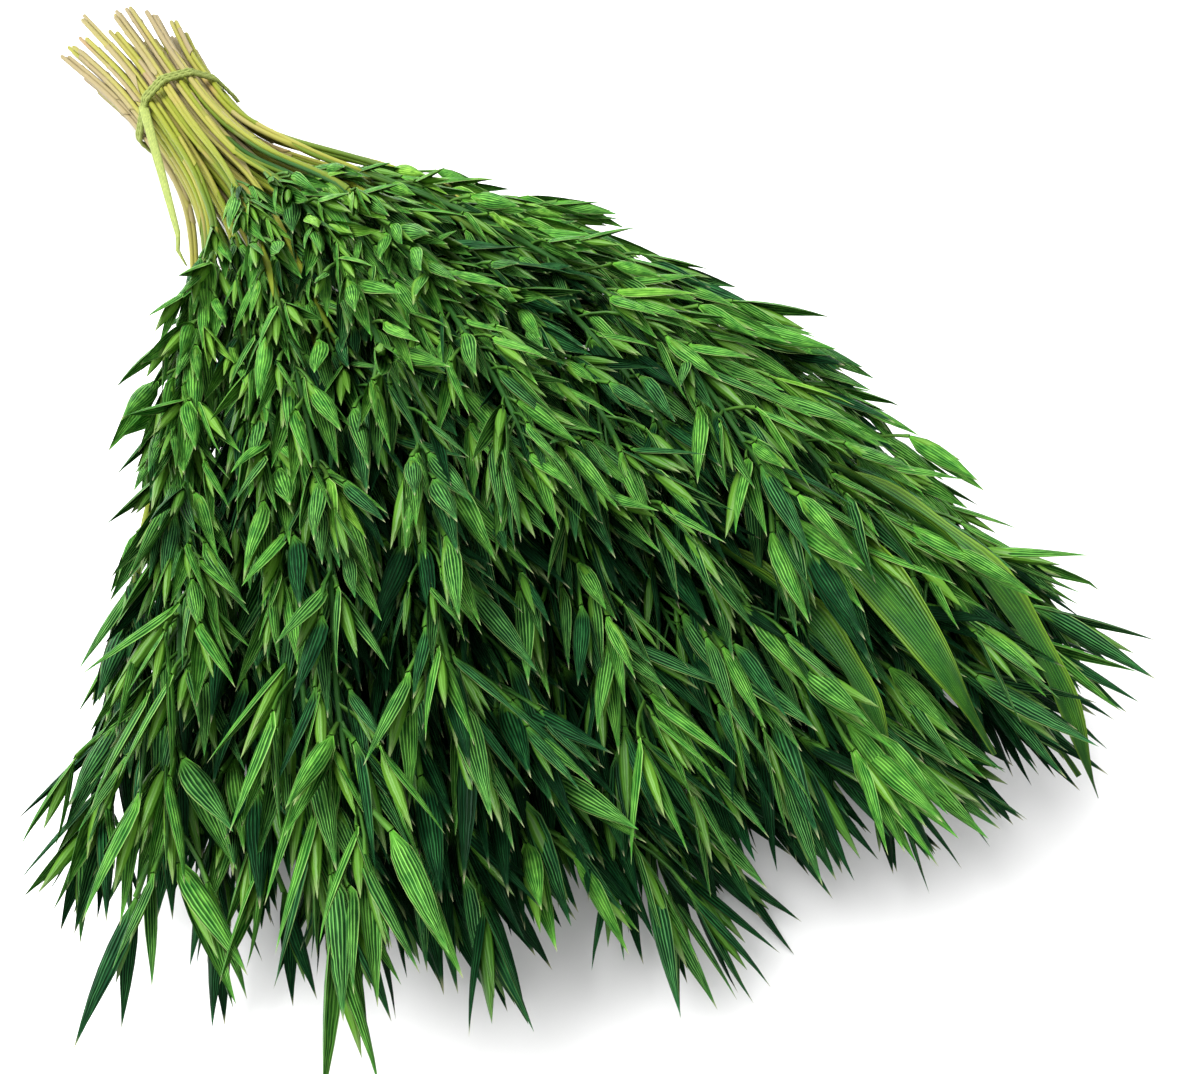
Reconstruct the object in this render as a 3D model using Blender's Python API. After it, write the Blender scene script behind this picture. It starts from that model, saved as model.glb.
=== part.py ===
"""A bundle of preserved oat stems, tied near its cut ends and lying on a flat surface.

Metres, +Z up. The heads point towards -Y and fan out from the tie. Each oat stem is one closed
body: a straw-like culm, the thin axis of its panicle, and the husks that hang from it in whorls.
"""

import math
import random

import bmesh
import bpy
from mathutils import Matrix, Vector

SEED = 29

# Stems at the tie, in a hexagonal stack
STEM_COUNT = 56
STEM_PITCH = 0.0056
CULM_RADIUS = 0.0025
HEAD_START_RADIUS = 0.0017
AXIS_TIP_RADIUS = 0.0008

# The tie: three turns of green strand side by side
TIE_TURNS = 3
TIE_TURN_WIDTH = 0.0022
TIE_TURN_FLAT = 0.0012
TIE_THICKNESS = 0.0018
TIE_VALLEY = 0.0007
TIE_SIDES = 24
TIE_GAP = 0.0008

# How the bundle spreads on each side of the tie
HEAD_FAN = math.radians(28.8)
FAN_DELAY = 0.100
FAN_FULL = 0.150
SWAY = 0.007
SWAY_LENGTH = 0.72
SWING = 0.010
SWING_OUT_FROM = 0.07
SWING_BACK_FROM = 0.29
SWING_OVER = 0.09
BUTT_FAN = math.radians(15.0)
BUTT_RISE = math.radians(3.0)
DOME_RISE = 0.0148
DOME_SPAN = 0.560
SIDE_DROOP = 0.18
SIDE_DROOP_FROM = 0.20
HEAD_LIFT = 0.004
TWIST = math.radians(16.0)
TWIST_LENGTH = 0.08
LIFT_FROM = 0.04
LIFT_OVER = 0.10
WAVE = 0.0026
WAVE_FROM = 0.05
WAVE_OVER = 0.15
SIDE_WAVE = 0.055
RISE_WAVE = 0.065
BUTT_LENGTH = 0.084
BUTT_SPREAD = 0.020
BUTT_SLANT = 0.016
NECK_STRAIGHT = 0.032

# How far the heads reach from the tie: most at the long side, less to the left and right, with a notch
REACH_LEFT = 0.326
REACH_MOST = 0.418
REACH_RIGHT = 0.395
LONG_SIDE = 0.8
LEFT_POWER = 3.6
RIGHT_POWER = 2.0
NOTCH = 0.024
NOTCH_SIDE = 0.06
NOTCH_SPREAD = 0.16
REACH_SPREAD = (-0.024, 0.004)
TOP_SHORTENING = 0.010
HEAD_LENGTH = 0.185
HEAD_LENGTH_SPREAD = 0.020

# Early heads cover the rest from above, and start later towards the left and right
EARLY_HEIGHT = 0.35
EARLY_SIDE = 0.70
EARLY_START = (0.100, 0.140)
EARLY_RIGHT = 0.060
EARLY_LEFT = 0.040

# The leftmost stem strays from the rest, with a short head on a long bare stalk
STRAY_SPREAD = 0.08
STRAY_FROM = 0.06
STRAY_OVER = 0.16
STRAY_HEAD = 0.075

# How a head turns about its own stem
HEAD_ROLL = 0.7
ROLL_OVER = 0.06

# Husks
WHORLS = 5
FIRST_WHORL = 0.45
WHORL_HEIGHT = 0.004
HUSK_LENGTH = 0.040
HUSK_HALF_WIDTH = 0.0042
HUSK_HALF_THICKNESS = 0.0021
HUSK_WIDEST_AT = 0.52
LEAST_LEAN = math.radians(12.0)
FIRST_WHORL_LEAN = math.radians(18.0)
LAST_WHORL_LEAN = math.radians(38.0)
HUSK_SAG = (0.02, 0.22)
HUSK_TURN = 0.5
HUSK_SIZES = (0.85, 1.10)
TIP_HUSK_SIZE = 0.9
END_WHORL_SHRINK = 0.12
HUSK_TRIES = 240
HUSK_SHRINK = 0.30
CLEARANCE = 0.0009
CELL = 0.012
BALL_STEP = 0.002
HUSK_BALLS = 14
HUSK_BALL = 0.0036
ROOT_BALL = 0.0016
ROOT_BALLS = 6
OWN_CLEARANCE = 0.0002

# Long leaves, in the heads of a few upper stems at the right
LEAFY_SIDE = 0.15
LEAFY_HEIGHT = 0.10
LEAFY_EVERY = 2
LEAF_WHORL = 3
LEAF_LENGTHS = (0.075, 0.100)
LEAF_HALF_WIDTH = 0.0060
LEAF_HALF_THICKNESS = 0.0005
LEAF_SHAPE = ((0.12, 0.7), (0.45, 1.0), (0.78, 0.7))
LEAF_ARCH = (0.004, 0.012)
LEAF_DIP = (0.0, 0.030)
LEAF_TURN = math.radians(130.0)
LEAF_TRIES = 400
FLOOR_GAP = 0.0003

# Colours of the three shades of green, and of the tie, and how rough they are
STRAW_ROUGHNESS = 0.6
TIE_ROUGHNESS = 0.7
GREENS = ((0.060, 0.200, 0.030), (0.035, 0.140, 0.035), (0.110, 0.240, 0.035))
TIE_GREEN = (0.250, 0.330, 0.100)


def smooth(t):
    t = min(max(t, 0.0), 1.0)
    return t * t * (3.0 - 2.0 * t)


def hexagonal_places(count, pitch):
    """The count places nearest the middle of a hexagonal stack, as (across, up)."""
    rows = math.ceil(math.sqrt(count))
    reach = range(-rows, rows + 1)
    places = [
        ((column + 0.5 * (row % 2)) * pitch, row * pitch * math.sqrt(0.75))
        for row in reach
        for column in reach
    ]
    places.sort(key=lambda place: (round(math.hypot(*place), 6), place))
    return places[:count]


PLACES = hexagonal_places(STEM_COUNT, STEM_PITCH)
NECK_RADIUS = max(math.hypot(*place) for place in PLACES)
STRAY_STEM = min(range(STEM_COUNT), key=lambda index: PLACES[index][0])
TIE_INNER = NECK_RADIUS + CULM_RADIUS + TIE_GAP
TIE_OUTER = TIE_INNER + TIE_THICKNESS
NECK_HEIGHT = TIE_OUTER * math.cos(math.pi / TIE_SIDES)
FLOOR_TO_LOWEST = NECK_HEIGHT - NECK_RADIUS


def half_width(s):
    if s < 0:
        return math.hypot(NECK_RADIUS, s * math.tan(BUTT_FAN))
    spread = s**3 / (s * s + FAN_DELAY * FAN_DELAY) * math.tan(HEAD_FAN)
    return math.hypot(NECK_RADIUS, FAN_FULL * math.tanh(spread / FAN_FULL))


def half_height(s):
    if s < 0:
        return math.hypot(NECK_RADIUS, s * math.tan(BUTT_RISE))
    turn = 2.0 * math.pi * min(s / DOME_SPAN, 1.0)
    return NECK_RADIUS + DOME_RISE * 0.5 * (1.0 - math.cos(turn))


def reach_at(side):
    """How far a stem at this side of the bundle reaches, side being -1 at the left and 1 at the right."""
    if side < LONG_SIDE:
        fall = (REACH_MOST - REACH_LEFT) * ((LONG_SIDE - side) / (LONG_SIDE + 1.0)) ** LEFT_POWER
    else:
        fall = (REACH_MOST - REACH_RIGHT) * ((side - LONG_SIDE) / (1.0 - LONG_SIDE)) ** RIGHT_POWER
    notch = NOTCH * math.exp(-(((side - NOTCH_SIDE) / NOTCH_SPREAD) ** 2))
    return REACH_MOST - fall - notch


class Stem:
    """Where one stem runs: its place at the tie, its lengths and its own slow waves."""

    def __init__(self, index, place, draw):
        self.index = index
        self.side = place[0] / NECK_RADIUS
        self.height = place[1] / NECK_RADIUS
        reach = reach_at(self.side) - TOP_SHORTENING * max(self.height, 0.0)
        reach += draw.uniform(*REACH_SPREAD)
        self.length = HEAD_LENGTH + draw.uniform(-1.0, 1.0) * HEAD_LENGTH_SPREAD
        if index == STRAY_STEM:
            self.length = STRAY_HEAD
        is_early = self.height > EARLY_HEIGHT and abs(self.side) < EARLY_SIDE and index % 3 > 0
        if is_early:
            later = max(EARLY_RIGHT * self.side, -EARLY_LEFT * self.side)
            self.start = draw.uniform(*EARLY_START) + later
        else:
            self.start = reach - self.length
        self.butt = BUTT_LENGTH + draw.uniform(-1.0, 1.0) * BUTT_SPREAD - BUTT_SLANT * self.side
        self.wave = [draw.uniform(0.0, 2.0 * math.pi) for _ in range(2)]
        self.roll = draw.uniform(-HEAD_ROLL, HEAD_ROLL)
        self.stray = STRAY_SPREAD if index == STRAY_STEM else 0.0
        exposed = self.side > LEAFY_SIDE and self.height > LEAFY_HEIGHT
        self.has_leaf = exposed and not is_early and index % LEAFY_EVERY == 0

    def point(self, s):
        """The middle of the stem at the distance s from the tie, before the heads' ends."""
        turn = TWIST * s / math.hypot(s, TWIST_LENGTH)
        side = self.side * math.cos(turn) - self.height * math.sin(turn)
        height = self.side * math.sin(turn) + self.height * math.cos(turn)
        droop = SIDE_DROOP * smooth(s / SIDE_DROOP_FROM) * side * side
        lift = HEAD_LIFT * smooth((s - LIFT_FROM) / LIFT_OVER)
        wave = WAVE * smooth((s - WAVE_FROM) / WAVE_OVER)
        stray = 1.0 + self.stray * smooth((s - STRAY_FROM) / STRAY_OVER)
        x = side * half_width(s) * stray + SWAY * math.sin(2.0 * math.pi * s / SWAY_LENGTH)
        x += SWING * smooth((s - SWING_OUT_FROM) / SWING_OVER)
        x -= SWING * smooth((s - SWING_BACK_FROM) / SWING_OVER)
        x += wave * math.sin(s / SIDE_WAVE + self.wave[0])
        z = FLOOR_TO_LOWEST + lift + half_height(s) * (1.0 + height - droop)
        z += wave * (1.0 + math.sin(s / RISE_WAVE + self.wave[1]))
        return Vector((x, -s, z))

    def frame(self, s):
        """(middle, along, aside, above) of the stem at s."""
        step = 0.002
        along = (self.point(s + step) - self.point(s - step)).normalized()
        aside = along.cross(Vector((0.0, 0.0, 1.0))).normalized()
        above = aside.cross(along)
        turn = self.roll * smooth((s - self.start) / ROLL_OVER + 1.0)
        roll = Matrix.Rotation(turn, 3, along)
        return self.point(s), along, roll @ aside, roll @ above

    def radius(self, s):
        if s < self.start:
            return CULM_RADIUS + (HEAD_START_RADIUS - CULM_RADIUS) * smooth(s / self.start)
        share = (s - self.start) / self.length
        return HEAD_START_RADIUS + (AXIS_TIP_RADIUS - HEAD_START_RADIUS) * min(share, 1.0)


class Clearance:
    """Balls that stand for the shapes already placed, kept in a grid of cells."""

    def __init__(self):
        self.cells = {}

    def cell(self, point):
        return tuple(math.floor(value / CELL) for value in point)

    def add(self, balls, owner):
        for point, radius in balls:
            self.cells.setdefault(self.cell(point), []).append((point, radius, owner))

    def is_clear(self, balls, owner):
        """Whether the balls clear every other stem, and past their root their own stem too."""
        around = (-1, 0, 1)
        for place, (point, radius) in enumerate(balls):
            x, y, z = self.cell(point)
            near = [
                ball
                for dx in around
                for dy in around
                for dz in around
                for ball in self.cells.get((x + dx, y + dy, z + dz), ())
            ]
            for other, size, whose in near:
                if whose == owner and place < ROOT_BALLS:
                    continue
                gap = OWN_CLEARANCE if whose == owner else CLEARANCE
                if (other - point).length < radius + size + gap:
                    return False
        return True


class Husk:
    """One husk: a long flat diamond from the side of the panicle's axis to its own tip."""

    def __init__(self, root, along, outward, length):
        self.root = root
        self.along = along
        self.length = length
        self.scale = length / HUSK_LENGTH
        self.aside = along.cross(outward).normalized()
        self.above = self.aside.cross(along)
        self.tip = root + along * length
        self.middle = root + along * length * HUSK_WIDEST_AT

    def sections(self):
        """The four corners of the widest section, in order around the husk."""
        aside = self.aside * HUSK_HALF_WIDTH * self.scale
        above = self.above * HUSK_HALF_THICKNESS * self.scale
        return [diamond(self.middle, aside, above)]

    def balls(self):
        widest = HUSK_BALL * self.scale
        found = []
        for step in range(HUSK_BALLS + 1):
            share = step / HUSK_BALLS
            if share < HUSK_WIDEST_AT:
                radius = ROOT_BALL + (widest - ROOT_BALL) * share / HUSK_WIDEST_AT
            else:
                radius = widest * (1.0 - share) / (1.0 - HUSK_WIDEST_AT)
            found.append((self.root + self.along * self.length * share, radius))
        return found


class Leaf:
    """A long narrow leaf that leaves the culm, arches away from it and dips at its end."""

    def __init__(self, root, along, outward, draw):
        self.root = root
        self.along = along
        self.outward = outward
        self.length = draw.uniform(*LEAF_LENGTHS)
        self.arch = draw.uniform(*LEAF_ARCH)
        self.dip = draw.uniform(*LEAF_DIP)
        self.tip = self.point(1.0)

    def point(self, share):
        out = self.arch * math.sin(LEAF_TURN * share) / math.sin(LEAF_TURN)
        point = self.root + self.along * self.length * share + self.outward * out
        point.z -= self.dip * share * share
        return point

    def sections(self):
        step = 0.01
        found = []
        for share, width in LEAF_SHAPE:
            way = (self.point(share + step) - self.point(share - step)).normalized()
            aside = way.cross(self.outward).normalized()
            above = aside.cross(way) * LEAF_HALF_THICKNESS
            found.append(diamond(self.point(share), aside * LEAF_HALF_WIDTH * width, above))
        return found

    def balls(self):
        count = int(self.length / (2.0 * BALL_STEP))
        found = []
        for step in range(count + 1):
            share = step / count
            narrowing = min(1.0, 0.3 + 4.0 * share, 2.2 * (1.0 - share) + 0.1)
            found.append((self.point(share), LEAF_HALF_WIDTH * narrowing))
        return found


def diamond(middle, aside, above):
    return [middle + aside, middle - above, middle - aside, middle + above]


def culm_stations(stem):
    return [-stem.butt, -NECK_STRAIGHT, 0.0, NECK_STRAIGHT, 0.5 * (NECK_STRAIGHT + stem.start)]


def whorl_stations(stem):
    gap = stem.length / WHORLS
    return [stem.start + gap * (k + FIRST_WHORL) for k in range(WHORLS)]


def ring_stations(stem):
    half = 0.5 * WHORL_HEIGHT
    whorls = [s + way for s in whorl_stations(stem) for way in (-half, half)]
    return culm_stations(stem) + whorls + [stem.start + stem.length]


def stem_balls(stem):
    """Balls along the straight stretches between the stem's rings."""
    stations = ring_stations(stem)
    found = []
    for first, second in zip(stations, stations[1:]):
        start, end = stem.point(first), stem.point(second)
        count = max(int((end - start).length / BALL_STEP), 1)
        for step in range(count + 1):
            share = step / count
            radius = stem.radius(first) + (stem.radius(second) - stem.radius(first)) * share
            found.append((start.lerp(end, share), radius))
    return found


def draw_husk(root, along, outward, draw, size, most_lean):
    """A husk with a random lean from the axis, sagging a little, with its tip off the floor."""
    lean = draw.uniform(LEAST_LEAN, most_lean)
    turn = Matrix.Rotation(draw.uniform(-HUSK_TURN, HUSK_TURN), 3, along)
    way = along * math.cos(lean) + (turn @ outward) * math.sin(lean)
    way.z -= draw.uniform(*HUSK_SAG)
    way.normalize()
    length = HUSK_LENGTH * size * draw.uniform(*HUSK_SIZES)
    tip = root + way * length
    if tip.z < 0.0:
        tip.z = 0.0
        way = (tip - root).normalized()
        length = (tip - root).length
    return Husk(root, way, turn @ outward, length)


def is_over_floor(blade):
    return min(corner.z for section in blade.sections() for corner in section) > FLOOR_GAP


def ring(bm, stem, s):
    middle, _, aside, above = stem.frame(s)
    radius = stem.radius(s)
    ways = (aside, above, -aside, -above)
    return [bm.verts.new(middle + way * radius) for way in ways]


def bridge(bm, first, second):
    """The four side faces between two rings."""
    faces = []
    for k in range(4):
        n = (k + 1) % 4
        faces.append(bm.faces.new((first[k], second[k], second[n], first[n])))
    return faces


def grow(bm, face, blade):
    """Draws a face out through the blade's sections and then to its tip."""
    middle = face.calc_center_median()
    arms = [(vert.co - middle).normalized() for vert in face.verts]
    for corners in blade.sections():
        centre = sum(corners, Vector()) / 4.0
        face = bmesh.ops.extrude_discrete_faces(bm, faces=[face])["faces"][0]
        ways = [(corner - centre).normalized() for corner in corners]
        best = max(range(4), key=lambda shift: sum(arms[k].dot(ways[k - shift]) for k in range(4)))
        for k, vert in enumerate(face.verts):
            vert.co = corners[k - best]
        arms = [ways[k - best] for k in range(4)]
    bmesh.ops.poke(bm, faces=[face])["verts"][0].co = blade.tip


def husk_sites(stem):
    """(key, root, along, outward, size, most lean) for the axis's tip and each whorl's faces."""
    middle, along, _, above = stem.frame(stem.start + stem.length)
    sites = [("tip", middle, along, above, TIP_HUSK_SIZE, LAST_WHORL_LEAN)]
    for k, s in enumerate(whorl_stations(stem)):
        middle, along, aside, above = stem.frame(s)
        size = 1.0 - END_WHORL_SHRINK * k / WHORLS
        most_lean = FIRST_WHORL_LEAN + (LAST_WHORL_LEAN - FIRST_WHORL_LEAN) * k / (WHORLS - 1)
        for quarter in range(4):
            turn = math.radians(45.0 + 90.0 * quarter)
            outward = aside * math.cos(turn) + above * math.sin(turn)
            root = middle + outward * stem.radius(s) * math.cos(math.radians(45.0))
            sites.append(((k, quarter), root, along, outward, size, most_lean))
    return sites


def place_leaf(stem, space, draw):
    """{key: leaf} for the first leaf drawn at its whorl that clears every other stem, if any does."""
    sites = [site for site in husk_sites(stem) if site[0][0] == LEAF_WHORL]
    for _ in range(LEAF_TRIES):
        key, root, along, outward, _, _ = draw.choice(sites)
        leaf = Leaf(root, along, outward, draw)
        is_low = leaf.tip.z < FLOOR_GAP or not is_over_floor(leaf)
        if not is_low and space.is_clear(leaf.balls(), stem.index):
            space.add(leaf.balls(), stem.index)
            return {key: leaf}
    return {}


def place_blades(stems, draw):
    """For each stem, its husks and leaf by whorl and side, clear of all that is placed."""
    space = Clearance()
    for stem in stems:
        space.add(stem_balls(stem), stem.index)
    placed = {stem.index: place_leaf(stem, space, draw) if stem.has_leaf else {} for stem in stems}
    sites = [(stem, site) for stem in stems for site in husk_sites(stem)]
    sites = [(stem, site) for stem, site in sites if site[0] not in placed[stem.index]]
    draw.shuffle(sites)
    sites.sort(key=lambda pair: pair[1][0] != "tip")
    for stem, (key, root, along, outward, size, most_lean) in sites:
        for attempt in range(HUSK_TRIES):
            shrink = 1.0 - HUSK_SHRINK * attempt / HUSK_TRIES
            husk = draw_husk(root, along, outward, draw, size * shrink, most_lean)
            if is_over_floor(husk) and space.is_clear(husk.balls(), stem.index):
                placed[stem.index][key] = husk
                space.add(husk.balls(), stem.index)
                break
    return placed


def make_stem(stem, blades, material):
    bm = bmesh.new()
    rings = [ring(bm, stem, s) for s in ring_stations(stem)]
    bm.faces.new(rings[0])
    sides = [bridge(bm, first, second) for first, second in zip(rings, rings[1:])]
    end = bm.faces.new(rings[-1][::-1])
    grown = [(end, blades.get("tip"))]
    first_whorl = len(culm_stations(stem))
    for k in range(WHORLS):
        faces = sides[first_whorl + 2 * k]
        grown += [(face, blades.get((k, quarter))) for quarter, face in enumerate(faces)]
    bm.normal_update()
    for face, blade in grown:
        if blade:
            grow(bm, face, blade)
    bmesh.ops.recalc_face_normals(bm, faces=bm.faces)
    return add_object(f"oat_stem_{stem.index + 1:02d}", bm, material)


def tie_profile():
    """(radius, along) corners of the tie's section, over its ridges and back inside."""
    half = 0.5 * TIE_TURNS * TIE_TURN_WIDTH
    corners = [(TIE_INNER, -half), (TIE_INNER, half)]
    for turn in reversed(range(TIE_TURNS)):
        centre = -half + (turn + 0.5) * TIE_TURN_WIDTH
        if turn < TIE_TURNS - 1:
            corners.append((TIE_OUTER - TIE_VALLEY, centre + 0.5 * TIE_TURN_WIDTH))
        corners.append((TIE_OUTER, centre + 0.5 * TIE_TURN_FLAT))
        corners.append((TIE_OUTER, centre - 0.5 * TIE_TURN_FLAT))
    return corners


def make_tie(material):
    bm = bmesh.new()
    step = 2.0 * math.pi / TIE_SIDES
    loops = []
    for side in range(TIE_SIDES):
        turn = (side + 0.5) * step - 0.5 * math.pi
        loop = [
            bm.verts.new((radius * math.cos(turn), y, NECK_HEIGHT + radius * math.sin(turn)))
            for radius, y in tie_profile()
        ]
        loops.append(loop)
    for first, second in zip(loops, loops[1:] + loops[:1]):
        for k in range(len(first)):
            n = (k + 1) % len(first)
            bm.faces.new((first[k], first[n], second[n], second[k]))
    bmesh.ops.recalc_face_normals(bm, faces=bm.faces)
    lean = math.atan(2.0 * math.pi * SWAY / SWAY_LENGTH)
    bmesh.ops.rotate(bm, verts=bm.verts, matrix=Matrix.Rotation(lean, 3, "Z"))
    return add_object("neck_tie", bm, material)


def add_object(name, bm, material):
    mesh = bpy.data.meshes.new(name)
    bm.to_mesh(mesh)
    bm.free()
    obj = bpy.data.objects.new(name, mesh)
    obj.data.materials.append(material)
    bpy.context.scene.collection.objects.link(obj)
    return obj


def principled(name, colour, roughness):
    material = bpy.data.materials.new(name)
    material.use_nodes = True
    shader = material.node_tree.nodes["Principled BSDF"]
    shader.inputs["Base Color"].default_value = (*colour, 1.0)
    shader.inputs["Roughness"].default_value = roughness
    shader.inputs["Metallic"].default_value = 0.0
    return material


def centre_on_floor(objects):
    """Moves the meshes so that the bundle, which already lies on z = 0, is centred over the origin."""
    corners = [vert.co for obj in objects for vert in obj.data.vertices]
    low = [min(corner[axis] for corner in corners) for axis in range(2)]
    high = [max(corner[axis] for corner in corners) for axis in range(2)]
    shift = Vector((-0.5 * (low[0] + high[0]), -0.5 * (low[1] + high[1]), 0.0))
    for obj in objects:
        obj.data.transform(Matrix.Translation(shift))


def main():
    for obj in list(bpy.data.objects):
        bpy.data.objects.remove(obj)
    draw = random.Random(SEED)
    stems = [Stem(index, place, draw) for index, place in enumerate(PLACES)]
    blades = place_blades(stems, draw)
    greens = [
        principled(f"oat green {k + 1}", green, STRAW_ROUGHNESS) for k, green in enumerate(GREENS)
    ]
    made = [make_stem(stem, blades[stem.index], greens[stem.index % len(greens)]) for stem in stems]
    made.append(make_tie(principled("tie green", TIE_GREEN, TIE_ROUGHNESS)))
    centre_on_floor(made)


if __name__ == "__main__":
    main()
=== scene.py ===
"""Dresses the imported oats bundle: veined husks, straws, long leaves, the tie and a pale studio.

Metres, +Z up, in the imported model's own frame. Each stem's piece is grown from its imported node,
which gives the line of its straw and the place of each husk and leaf.
"""

import math

import bpy
import numpy as np
from mathutils import Matrix, Vector


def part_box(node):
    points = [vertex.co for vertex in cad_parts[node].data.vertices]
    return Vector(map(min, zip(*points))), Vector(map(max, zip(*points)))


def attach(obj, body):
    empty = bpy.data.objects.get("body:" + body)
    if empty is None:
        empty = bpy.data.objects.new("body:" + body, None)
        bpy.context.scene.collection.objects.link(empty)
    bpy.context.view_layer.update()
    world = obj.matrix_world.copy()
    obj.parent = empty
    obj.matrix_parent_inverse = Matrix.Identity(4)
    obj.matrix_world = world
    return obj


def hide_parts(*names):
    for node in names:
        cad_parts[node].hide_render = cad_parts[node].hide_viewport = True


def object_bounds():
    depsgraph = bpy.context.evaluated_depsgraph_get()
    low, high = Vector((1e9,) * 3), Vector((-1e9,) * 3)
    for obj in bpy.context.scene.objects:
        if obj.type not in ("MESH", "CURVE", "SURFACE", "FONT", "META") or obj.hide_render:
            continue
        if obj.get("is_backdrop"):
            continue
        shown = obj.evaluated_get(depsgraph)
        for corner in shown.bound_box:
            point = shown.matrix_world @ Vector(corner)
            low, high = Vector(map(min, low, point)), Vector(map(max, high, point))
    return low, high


bl_info = {
    "name": "Preserved oats bundle",
    "version": (1, 0, 0),
    "blender": (4, 5, 0),
    "location": "3D Viewport > Sidebar > Oats",
    "description": "Dresses a bundle of preserved oats with husks, straws, leaves and its tie",
    "category": "Object",
}

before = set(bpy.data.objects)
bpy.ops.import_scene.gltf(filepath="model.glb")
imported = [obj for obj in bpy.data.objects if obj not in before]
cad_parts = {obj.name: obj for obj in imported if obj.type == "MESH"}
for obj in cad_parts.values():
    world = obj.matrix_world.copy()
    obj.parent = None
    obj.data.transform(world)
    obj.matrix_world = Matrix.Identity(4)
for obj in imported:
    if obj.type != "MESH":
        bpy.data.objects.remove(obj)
CAD_LOW, CAD_HIGH = (np.array(corner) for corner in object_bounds())
EDGE_ROOM = 0.001
ROOM_LOW, ROOM_HIGH = CAD_LOW + EDGE_ROOM, CAD_HIGH - EDGE_ROOM

SEED = 11
UP = np.array([0.0, 0.0, 1.0])
FULL_TURN = 2.0 * math.pi

# Places of the finishes on a stem's mesh
HUSK, FLORET, STRAW, AXIS, LEAF = range(5)

# The mesh's maps: the place on a husk, straw or leaf, and its tone with a chance number
MAPS = ("Place", "Tone")

# The look's colours at the tones of a husk, whose lowest tones are painted shade, and at places along a
# straw
TONE_STOPS = {0.0: "hidden", 0.22: "blue", 0.42: "green", 0.75: "green", 1.0: "lime"}
STRAW_STOPS = {0.0: "cut", 0.13: "pale", 0.27: "neck", 0.41: "olive", 0.54: "green"}

# Sockets of a node that mixes colours
MIX_SHARE, MIX_FIRST, MIX_SECOND, MIX_RESULT = 0, 6, 7, 2

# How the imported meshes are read
WELD = 1e-6
TIP_CONE = math.cos(math.radians(22.0))
RING_GAP = 0.0015
LEAF_SECTIONS = 4

# Rows and columns of points on the grown shapes
HUSK_GRIDS = ((9, 7), (7, 5))
FLORET_GRID = (7, 5)
STALK_GRID = (4, 3)
SHEATH_GRID = (12, 10)
LEAF_GRID = (30, 7)
LOOSE_GRID = (24, 12)

# Tones of the heads, from 0 for the deepest green to 1: how they spread, and what limits them
FIRST_TONE = 0.41
STEM_TONES = 0.36
OWN_TONES = 0.18
HUSK_TONES = 0.06
LEAST_TONE = 0.14
# Where the painted light towards the neck gives way to painted shade
NO_PAINTED_LIGHT_AT = 0.37

# Husks, florets and stalks: shares of their sizes, and how far a husk rolls
HUSK_WIDTHS = (0.85, 1.12)
HUSK_WIDEST = 0.34
HUSK_ROLL = math.radians(9.0)
SHORTEST_HUSK = 0.82
TIP_CURLS = (-0.03, 0.05)
FLORET_COUNTS = (2, 1)
FLORET_START = 0.05
FLORET_WIDEST = 0.36
FLORET_LINES = 9
SIDE_LEAN = 0.4
STALK_SHARE = 0.12
STALK_BEND = 0.06
STALK_SWELL = 0.5

# Where the small spikelets stand, and how the spikelets above darken one below with painted shade
END_ROOM = 0.003
END_LEAN = 0.15
BRANCHES_BEFORE = 0.012
TOP_HEIGHT = 0.034
NECK_HALF_WIDTH = 0.040
PLACES_TRIED = 4
OPENING = (0.35, 1.0)
MOST_DROOP = 0.5
STAND_IN_AT = 0.4
COVER_REACH = 0.014
COVER_HEIGHT = 0.006
COVER_COUNT = 2.7

# Straws and sheaths: lengths, shares of a radius and shares of the way to the head
STRAWS_EACH = 3
STRAW_SIDES = 8
STRAW_STEP = 0.007
STRAW_TONES = 0.22
STRAWS_PAST = (0.005, 0.05)
JOINED_AT = 1.5
THICKER_FROM = 0.8
TIP_RADIUS = 0.25
TAPER_LENGTH = 0.018
KNOTS_FROM_TIE = (-0.06, 0.03, 0.15)
KNOT_SHIFTS = (-0.02, 0.035)
KNOT_SHARPNESS = 3.0
KNOT_SWELL = 0.28
BORE_FLOOR = 0.02
BORE_DEPTH = 0.008
TIE_ROOM = 0.008
LEAST_SHEATH = 0.01
SHEATH_ROOM = 1.08
SHEATH_FLARE = 0.25
SHEATH_DRYNESS = (0.15, 0.55)
SHEATH_SLANTS = (0.15, 0.5)
SHEATH_TONES = (0.2, 0.6)

# Leaves
LEAF_WIDEST = 0.35
LEAF_TWISTS = (0.6, 1.0)
LEAF_TONES = (0.6, 1.0)
LEAF_WAVES = 3.0
LEAF_RIPPLE = 0.0008
WAVE_SLANT = 0.2
FOLD_POWER = 1.5

# The tie
TIE_TURNS = 3
TIE_TWISTS = 23
TIE_STEPS = 240
TIE_SIDES = 12
STRAND_LIFT = 0.8
STRAND_RADII = (0.58, 0.30)
LOOSE_THICKNESS = 0.0007
LOOSE_TURNS = (2.50, 3.05)
LOOSE_TIP_POWER = 8
SEARCH_STEPS = 300

# The stage
SENSOR_WIDTH = 36.0
CLIP_START = 0.01
KEY_PLACE, KEY_SIZE = (-0.45, 0.40, 1.25), 1.3
FILL_PLACE, FILL_SIZE = (0.4, -1.3, 1.0), 1.0


def unit(vectors):
    """The vectors at length one."""
    return vectors / np.linalg.norm(vectors, axis=-1, keepdims=True)


def turned(vectors, axes, angles):
    """Each vector turned by its angle about its own unit axis."""
    cos = np.cos(angles)[..., None]
    sin = np.sin(angles)[..., None]
    along = (vectors * axes).sum(-1, keepdims=True)
    return vectors * cos + np.cross(axes, vectors) * sin + axes * along * (1.0 - cos)


def square_to(vectors, axes):
    """The part of each vector that is square to its unit axis, at length one."""
    return unit(vectors - axes * (vectors * axes).sum(-1, keepdims=True))


def arch(shares):
    """Rises from 0 to 1 half way and falls back to 0."""
    return 4.0 * shares * (1.0 - shares)


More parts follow.
